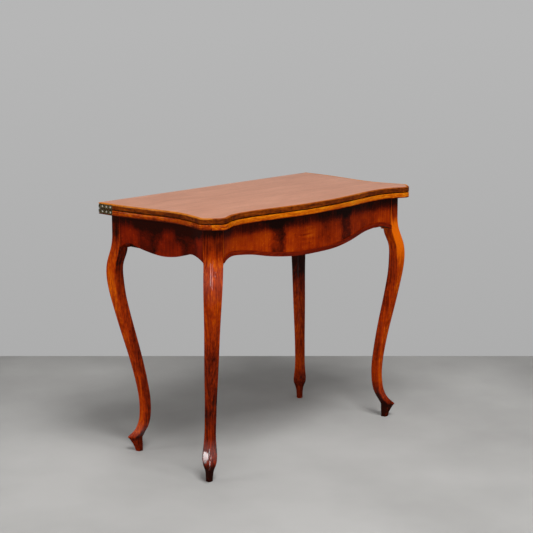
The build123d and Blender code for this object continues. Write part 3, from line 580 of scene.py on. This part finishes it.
def crotch_veneer(name, plume, stops, across="X", middle=0.0, plume_width=0.055, seams=(),
                  lift=0.0, turned=0.0, curl=None):
    """Figured veneer with a dark plume that far from the joint on each side."""
    material, tree, place = start_material(name)
    parts = add(tree, "ShaderNodeSeparateXYZ", {0: place}).outputs
    from_joint = add(tree, "ShaderNodeMath", {0: parts[across], 1: middle}, operation="SUBTRACT")
    tone, blotch = book_match(tree, place, parts, from_joint, plume, plume_width, lift)
    fleck = add(tree, "ShaderNodeTexNoise", {"Vector": place, "Scale": per_metre(fleck_size),
                                             "Detail": 3.0, "Roughness": 0.6})
    tone = toned(tree, tone, fleck, fleck_span, (0.0, fleck_light))
    # Painted sheen: the turned half of the match is painted darker
    half = add(tree, "ShaderNodeMath", {0: from_joint, 1: 0.0}, operation="GREATER_THAN")
    tone = add(tree, "ShaderNodeMath", {0: half, 1: -turned, 2: tone}, operation="MULTIPLY_ADD")
    if curl:
        tone = curled_patch(tree, tone, place, curl)
    # Painted shadow of the top on the veneer just under it
    tone = toned(tree, tone, parts["Z"], top_shade_height, (0.0, -top_shade), smooth=True)
    for seam in seams:
        beside = distance_to(tree, parts[across], seam)
        tone = toned(tree, tone, beside, dirt_line, (-dirt_dark, 0.0))
        # Painted highlight beside the seam, where the edge catches light
        tone = toned(tree, tone, beside, seam_highlight_line, (seam_painted_highlight, 0.0))
    colour = add(tree, "ShaderNodeValToRGB", {0: tone}, stops=stops)
    ripple = add(tree, "ShaderNodeBump", {"Height": blotch, "Strength": 0.15, "Distance": 0.001})
    shader = add(tree, "ShaderNodeBsdfPrincipled", {
        "Base Color": colour, "Roughness": wood_roughness, "Specular IOR Level": 0.0,
        "Coat Weight": veneer_coat, "Coat Roughness": veneer_polish, "Coat IOR": worn_coat_ior,
        "Coat Normal": ripple})
    add(tree, "ShaderNodeOutputMaterial", {"Surface": shader})
    return material


front_stops = [(0.22, "#1c0500"), (0.36, "#4c0e00"), (0.50, "#8a2400"), (0.62, "#a83a00"),
               (0.78, "#cc6408")]
side_stops = [(0.24, "#280600"), (0.40, "#5c1000"), (0.56, "#8a1e00"), (0.74, "#b84202")]
front_veneer = crotch_veneer(
    "crotch_mahogany_veneer_front", plume=0.150, stops=front_stops, seams=side_joints,
    lift=0.05, turned=0.03, curl=(-0.035, -0.20, 0.640))
side_veneer = crotch_veneer(
    "crotch_mahogany_veneer_side", plume=0.075, stops=side_stops, across="Y", middle=-0.01,
    plume_width=0.06, seams=(front_joint, back_joint), lift=0.01)
print("veneer nodes", len(front_veneer.node_tree.nodes))

# %% [markdown]
# The top is one broad sheet of plain veneer under a worn polish. Its grain runs along the table
# with little contrast, and slow clouds of darker red lie in it. The polish is a full coat, but
# rubbed and slightly hazy, so it spreads the pale reflection of the room over the whole leaf when
# it is seen at a low angle.

# %% Wood for the leaves
top_stops = [(0.28, "#945636"), (0.42, "#ac6a46"), (0.54, "#b87654"), (0.68, "#c88866")]
top_wood = polished_wood("hazy_veneered_top", "x", top_stops, streak=16.7, band=41.7,
                         coat=0.9, polish=0.30, bend=shellac_ior, sides="#6a2608")
print("top wood nodes", len(top_wood.node_tree.nodes))

# %% [markdown]
# Inside, where polish was never spent, the rails, blocks and the well are plain planed pine, brown
# with age, with darker growth lines a few millimetres apart and no clear coat. The corner blocks,
# the apron's core and the stop dowel are painted nearly black instead, a painted shade, where they
# are seen in the shadow under the frame.

# %% Bare wood for the inside
ring_size, ring_length, stain_size = 6.67, 333, 167
ring_share, stain_share = 0.5, 0.5


def planed_pine(name, along, stops):
    """Dry old softwood with its growth lines along one axis."""
    material, tree, place = start_material(name)
    ring = add(tree, "ShaderNodeMapping",
               {"Vector": place, "Scale": grain_scale(along, ring_size, ring_length)})
    ring = add(tree, "ShaderNodeTexNoise",
               {"Vector": ring, "Scale": 1.0, "Detail": 4.0, "Distortion": 0.7})
    stain = add(tree, "ShaderNodeTexNoise",
                {"Vector": place, "Scale": per_metre(stain_size), "Detail": 5.0})
    tone = add(tree, "ShaderNodeMath", {0: stain, 1: stain_share}, operation="MULTIPLY")
    tone = add(tree, "ShaderNodeMath", {0: ring, 1: ring_share, 2: tone},
               operation="MULTIPLY_ADD")
    colour = add(tree, "ShaderNodeValToRGB", {0: tone}, stops=stops)
    grooves = add(tree, "ShaderNodeBump", {"Height": ring, "Strength": 0.35, "Distance": 0.0004})
    shader = add(tree, "ShaderNodeBsdfPrincipled", {
        "Base Color": colour, "Roughness": 0.75, "Specular IOR Level": 0.1, "Normal": grooves})
    add(tree, "ShaderNodeOutputMaterial", {"Surface": shader})
    return material


pine_stops = [(0.32, "#4a2a12"), (0.46, "#6e4620"), (0.58, "#8a5e30"), (0.72, "#a07642")]
# Painted shade: nearly black pine for the parts seen only in shadow
shade_dark_stops = [(0.32, "#170a04"), (0.46, "#2a150a"), (0.58, "#3a2010"), (0.72, "#4c2e18")]
pine = {axis: planed_pine("bare_planed_pine_" + axis, axis, pine_stops) for axis in "xy"}
shade_dark_pine = {axis: planed_pine("shade_darkened_pine_" + axis, axis, shade_dark_stops) for axis in "xz"}
print("pines", [wood.name for wood in (*pine.values(), *shade_dark_pine.values())])

# %% [markdown]
# Old brass goes brown-green where hands don't reach and keeps some yellow on its high spots. Steel
# screws keep bright heads. Both are bare metal, so their colour is in the reflection, and the
# roughness goes up where the tarnish lies, in spots of about 4 mm.

# %% Tarnished brass and worn steel
spot_size = 4.35


def old_metal(name, clean, tarnish, smooth, dull, film_span):
    """Metal under a film of tarnish; smooth and dull are the roughness without and with it."""
    material, tree, place = start_material(name)
    spots = add(tree, "ShaderNodeTexNoise", {"Vector": place, "Scale": per_metre(spot_size),
                                             "Detail": 6.0, "Roughness": 0.7})
    film = add(tree, "ShaderNodeMapRange",
               {"Value": spots, "From Min": film_span[0], "From Max": film_span[1]})
    colour = add(tree, "ShaderNodeMix",
                 {0: film, colour_a: linear(clean), colour_b: linear(tarnish)},
                 data_type="RGBA").outputs[mixed_colour]
    roughness = add(tree, "ShaderNodeMapRange", {"Value": film, "To Min": smooth, "To Max": dull})
    pits = add(tree, "ShaderNodeBump", {"Height": spots, "Strength": 0.2, "Distance": 0.0002})
    shader = add(tree, "ShaderNodeBsdfPrincipled", {
        "Base Color": colour, "Metallic": 1.0, "Roughness": roughness, "Normal": pits})
    add(tree, "ShaderNodeOutputMaterial", {"Surface": shader})
    return material


plate_brass = old_metal("tarnished_brass_plate", "#6c5d3c", "#231f16",
                        smooth=0.30, dull=0.65, film_span=(0.40, 0.56))
bushing_brass = old_metal("worn_brass_bushing", "#c9a85e", "#7d6534",
                          smooth=0.25, dull=0.45, film_span=(0.45, 0.65))
screw_steel = old_metal("bright_worn_screw_heads", "#f0ebdf", "#a09886",
                        smooth=0.20, dull=0.40, film_span=(0.50, 0.75))
plain_steel = old_metal("dull_steel", "#8c8a86", "#4c4a48",
                        smooth=0.30, dull=0.50, film_span=(0.42, 0.62))
print("metals", [metal.name for metal in (plate_brass, bushing_brass, screw_steel, plain_steel)])

# %% [markdown]
# Baize is a thin woollen felt. Its short fibres lie every way, so the light on it is soft, with a
# faint pale sheen at a low angle and no gloss. The fibres are drawn about 0.8 mm apart, coarser
# than real ones, so that they show.

# %% Green wool
fibre_size, cloud_size = 0.8, 83
fibre_share, cloud_share = 0.65, 0.35


def wool_baize(name, stops):
    """Felted wool, soft and without gloss."""
    material, tree, place = start_material(name)
    fibre = add(tree, "ShaderNodeTexNoise",
                {"Vector": place, "Scale": per_metre(fibre_size), "Detail": 3.0})
    cloud = add(tree, "ShaderNodeTexNoise",
                {"Vector": place, "Scale": per_metre(cloud_size), "Detail": 5.0})
    tone = add(tree, "ShaderNodeMath", {0: cloud, 1: cloud_share}, operation="MULTIPLY")
    tone = add(tree, "ShaderNodeMath", {0: fibre, 1: fibre_share, 2: tone},
               operation="MULTIPLY_ADD")
    colour = add(tree, "ShaderNodeValToRGB", {0: tone}, stops=stops)
    nap = add(tree, "ShaderNodeBump", {"Height": fibre, "Strength": 0.5, "Distance": 0.0004})
    shader = add(tree, "ShaderNodeBsdfPrincipled", {
        "Base Color": colour, "Roughness": 0.95, "Specular IOR Level": 0.2, "Normal": nap,
        "Sheen Weight": 0.35, "Sheen Roughness": 0.5})
    add(tree, "ShaderNodeOutputMaterial", {"Surface": shader})
    return material


baize_stops = [(0.34, "#1d4322"), (0.50, "#265029"), (0.66, "#305c34")]
baize_wool = wool_baize("green_wool_baize", baize_stops)
print("baize nodes", len(baize_wool.node_tree.nodes))

# %% [markdown]
# Each leaf has its own sheet of baize, laid into a recess inside the lippings. A sheet is a copy of
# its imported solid, merged into one skin, with the thin edge rounded over by a small bevel.

# %% A sheet of baize in each leaf
merge_distance, flat_angle = 0.00002, math.radians(0.5)
edge_radius, edge_angle, smooth_angle = 0.0003, math.radians(50), math.radians(35)


def cloth_copy(node, body):
    """The cloth over one packed baize solid, with its edge rounded over."""
    cloth = nodes[node].copy()
    cloth.data = nodes[node].data.copy()
    cloth.name = node.replace("baize", "cloth")
    bpy.context.scene.collection.objects.link(cloth)
    cloth.parent = None
    select_only(cloth)
    bpy.ops.object.mode_set(mode="EDIT")
    bpy.ops.mesh.select_all(action="SELECT")
    bpy.ops.mesh.remove_doubles(threshold=merge_distance)
    bpy.ops.mesh.dissolve_limited(angle_limit=flat_angle)
    bpy.ops.object.mode_set(mode="OBJECT")
    rounded = cloth.modifiers.new("rounded_edge", "BEVEL")
    rounded.width = edge_radius
    rounded.segments = 2
    rounded.angle_limit = edge_angle
    bpy.ops.object.modifier_apply(modifier="rounded_edge")
    bpy.ops.object.shade_smooth_by_angle(angle=smooth_angle)
    cloth.data.materials.clear()
    cloth.data.materials.append(baize_wool)
    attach(cloth, body)
    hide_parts(node)


cloth_copy("lower_baize", "lower_leaf_body")
cloth_copy("upper_baize", "upper_leaf_body")

# %% [markdown]
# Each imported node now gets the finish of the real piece. A node's mesh is left as it is: only the
# material in its slots changes.

# %% Finish every node
finishes = {
    "leg_front_left": leg_wood["front_left"], "leg_front_right": leg_wood["front_right"],
    "leg_back_left": leg_wood["back_left"], "leg_back_right": leg_wood["back_right"],
    "front_apron": shade_dark_pine["x"], "front_bead": bead_wood,
    "front_veneer_left": front_veneer, "front_veneer_right": front_veneer,
    "side_apron_left": side_veneer, "side_apron_right": side_veneer,
    "back_rail": pine["x"], "corner_blocks": shade_dark_pine["z"],
    "pivot_rail": pine["y"], "pivot_bushing": bushing_brass,
    "well_bottom": pine["x"], "well_divider": pine["y"],
    "well_cleats": pine["x"], "cleat_screws": plain_steel,
    "lower_leaf": top_wood, "lower_front_lipping": lower_lipping["x"],
    "lower_left_lipping": lower_lipping["y"], "lower_right_lipping": lower_lipping["y"],
    "lower_hinge_plate_left": plate_brass, "lower_hinge_plate_right": plate_brass,
    "lower_hinge_pins": plain_steel, "lower_hinge_screws": screw_steel,
    "pivot_flange": plain_steel, "flange_screws": plain_steel,
    "pivot_washer": plain_steel, "pivot_nut": plain_steel, "stop_dowel": shade_dark_pine["z"],
    "hinge_link_left": plain_steel, "hinge_link_right": plain_steel,
    "upper_leaf": top_wood, "upper_front_lipping": upper_lipping["x"],
    "upper_left_lipping": upper_lipping["y"], "upper_right_lipping": upper_lipping["y"],
    "upper_hinge_plate_left": plate_brass, "upper_hinge_plate_right": plate_brass,
    "upper_hinge_pins": plain_steel, "upper_hinge_screws": screw_steel,
}
for name, material in finishes.items():
    for slot in nodes[name].material_slots:
        slot.material = material
without_slots = [name for name in finishes if not nodes[name].material_slots]
print("finished nodes", len(finishes), "without slots", without_slots)

# %% [markdown]
# The camera stands where the photographer stood: well off to the front left, about half a metre
# above the top, and looks down a little. A small lens shift puts the table as high in the picture
# as in the photo, and is small enough to keep the whole table in the other views.

# %% Camera
picture_width = 533
focal_pixels, shift_pixels = 1311.08, -25.99
turn, look_down = math.radians(47.138), math.radians(10.418)
right_angle = math.radians(90)
camera_data = bpy.data.cameras.new("camera")
camera = bpy.data.objects.new("camera", camera_data)
bpy.context.scene.collection.objects.link(camera)
camera_data.sensor_width = 36.0
camera_data.sensor_fit = "HORIZONTAL"
camera_data.lens = focal_pixels / picture_width * camera_data.sensor_width
camera_data.shift_y = shift_pixels / picture_width
camera_data.clip_end = 60.0
camera.location = (-2.79474, -2.60626, 1.30150)
camera.rotation_euler = (right_angle - look_down, 0.0, -turn)
bpy.context.scene.camera = camera
print("lens", round(camera_data.lens, 2))

# %% [markdown]
# A pale background has to stay pale wherever the camera stands, and without more light on the
# table. So the camera, and also whatever mirrors or shows the background, sees its surfaces as even
# greys, and all other light meets them as real ones. One helper tells those rays apart.

# %% Rays that show the background
def seen_rays(tree):
    """One for a ray from the camera, a reflection or a view through glass, and zero for others."""
    paths = add(tree, "ShaderNodeLightPath").outputs
    seen = add(tree, "ShaderNodeMath", {0: paths["Is Camera Ray"], 1: paths["Is Glossy Ray"]},
               operation="MAXIMUM")
    return add(tree, "ShaderNodeMath", {0: seen, 1: paths["Is Transmission Ray"]},
               operation="MAXIMUM")


print("made", seen_rays.__name__)

# %% [markdown]
# The floor is smooth pale concrete with slow dusty clouds. It is painted paler towards the
# photographer and darker towards the wall, a painted shade. It keeps the table's shadow. Only past
# the reach of the lamps does it turn into one even tone.

# %% Floor
dust_cloud_size = 625
concrete_stops = [(0.1, "#8f8e8c"), (0.6, "#adacaa")]
floor_shade_span, floor_painted_shade = (-0.6, 0.8), (0.06, -0.34)
lamp_reach, far_grey = (1.8, 5.0), "#adadab"


def pale_floor():
    """Smooth pale concrete."""
    material, tree, place = start_material("pale_concrete_floor")
    cloud = add(tree, "ShaderNodeTexNoise",
                {"Vector": place, "Scale": mm_in_metre / dust_cloud_size, "Detail": 4.0})
    away = add(tree, "ShaderNodeVectorMath", {0: place, 1: (math.sin(turn), math.cos(turn), 0)},
               operation="DOT_PRODUCT").outputs["Value"]
    # Painted shade: the floor darkens away from the photographer
    tone = toned(tree, cloud, away, floor_shade_span, floor_painted_shade)
    colour = add(tree, "ShaderNodeValToRGB", {0: tone}, stops=concrete_stops)
    concrete = add(tree, "ShaderNodeBsdfPrincipled",
                   {"Base Color": colour, "Roughness": 0.8, "Specular IOR Level": 0.2})
    reach = add(tree, "ShaderNodeVectorMath", {0: place}, operation="LENGTH").outputs["Value"]
    reach = add(tree, "ShaderNodeMapRange",
                {"Value": reach, "From Min": lamp_reach[0], "From Max": lamp_reach[1]},
                interpolation_type="SMOOTHSTEP")
    far = add(tree, "ShaderNodeMath", {0: reach, 1: seen_rays(tree)}, operation="MULTIPLY")
    even = add(tree, "ShaderNodeEmission", {"Color": linear(far_grey), "Strength": 1.0})
    whole = add(tree, "ShaderNodeMixShader", {0: far, 1: concrete, 2: even})
    add(tree, "ShaderNodeOutputMaterial", {"Surface": whole})
    return material


def room_plane(name, size, location, rotation, material):
    """A stage plane with its place in its mesh."""
    select_only()
    bpy.ops.mesh.primitive_plane_add(size=size, location=location, rotation=rotation)
    plane = bpy.context.active_object
    plane.name = name
    bpy.ops.object.transform_apply(location=True, rotation=True, scale=True)
    plane.data.materials.append(material)
    return plane


floor_size = 40.0
floor = room_plane("floor", floor_size, (0, 0, 0), (0, 0, 0), pale_floor())
print("floor faces", [round(c, 2) for c in floor.data.polygons[0].normal])

# %% [markdown]
# Behind the table the floor meets a plain plastered wall, square to the camera. The wall is a
# one-sided plane: from behind it lets everything through, so it never hides the table in a view
# from the back.

# %% Wall
backdrop_grey = "#b5b5b5"
wall_shade_height = 1.2
# Painted shade: the wall is a little darker towards the floor
wall_stops = [(0.0, "#adadad"), (1.0, "#b6b6b6")]


def pale_wall():
    """Painted plaster seen only from its front, its tone painted darker towards the floor as shade.
    """
    material, tree, place = start_material("pale_wall")
    plaster = add(tree, "ShaderNodeBsdfPrincipled",
                  {"Base Color": linear(backdrop_grey), "Roughness": 0.9})
    height = add(tree, "ShaderNodeSeparateXYZ", {0: place}).outputs["Z"]
    height = add(tree, "ShaderNodeMapRange", {"Value": height, "From Max": wall_shade_height})
    tone = add(tree, "ShaderNodeValToRGB", {0: height}, stops=wall_stops)
    even = add(tree, "ShaderNodeEmission", {"Color": tone, "Strength": 1.0})
    front = add(tree, "ShaderNodeMixShader", {0: seen_rays(tree), 1: plaster, 2: even})
    behind = add(tree, "ShaderNodeNewGeometry").outputs["Backfacing"]
    clear = add(tree, "ShaderNodeBsdfTransparent")
    whole = add(tree, "ShaderNodeMixShader", {0: behind, 1: front, 2: clear})
    add(tree, "ShaderNodeOutputMaterial", {"Surface": whole})
    return material


wall_size, wall_distance = 14.0, 4.708
wall_place = (camera.location.x + wall_distance * math.sin(turn),
              camera.location.y + wall_distance * math.cos(turn), wall_size / 2)
wall = room_plane("wall", wall_size, wall_place, (right_angle, 0, -turn), pale_wall())
print("wall faces", [round(c, 2) for c in wall.data.polygons[0].normal])

# %% [markdown]
# The pale room fills the shadows from all round. The key is one large soft lamp high over the front
# left, which leaves the aprons in the shadow of the top. A small soft lamp in front brings the
# veneer out. Two weak window-like lamps at the left draw the highlights on the knees and the toes.

# %% Room light and lamps
fill_strength = 0.20
world = bpy.data.worlds.new("pale_room")
bpy.context.scene.world = world
world.use_nodes = True
room = world.node_tree
room.nodes.clear()
fill_light = add(room, "ShaderNodeBackground",
                 {"Color": linear("#ffffff"), "Strength": fill_strength})
backdrop = add(room, "ShaderNodeBackground", {"Color": linear(backdrop_grey), "Strength": 1.0})
both = add(room, "ShaderNodeMixShader", {0: seen_rays(room), 1: fill_light, 2: backdrop})
add(room, "ShaderNodeOutputWorld", {"Surface": both})


def softbox(name, location, aim, width, height, watts):
    """A rectangular area lamp aimed at a point."""
    lamp_data = bpy.data.lights.new(name, "AREA")
    lamp_data.shape = "RECTANGLE"
    lamp_data.size = width
    lamp_data.size_y = height
    lamp_data.energy = watts
    lamp = bpy.data.objects.new(name, lamp_data)
    bpy.context.scene.collection.objects.link(lamp)
    lamp.location = location
    way = Vector(aim) - Vector(location)
    lamp.rotation_euler = way.to_track_quat("-Z", "Y").to_euler()


softbox("key_softbox", location=(-0.9, -1.7, 3.9), aim=(0, 0, 0.6),
        width=1.5, height=1.5, watts=145)
softbox("front_softbox", location=(0.6, -3.4, 1.9), aim=(0, 0, 0.45),
        width=0.6, height=0.6, watts=14)
softbox("tall_window", location=(-3.25, -1.45, 1.5), aim=(-0.3, -0.1, 0.5),
        width=1.2, height=1.4, watts=24)
softbox("side_window", location=(-2.9, 1.50, 1.2), aim=(-0.3, 0.0, 0.2),
        width=1.1, height=0.9, watts=21)

# %% [markdown]
# Colours are shown as they are written, with the standard view transform.

bpy.context.scene.view_settings.view_transform = "Standard"
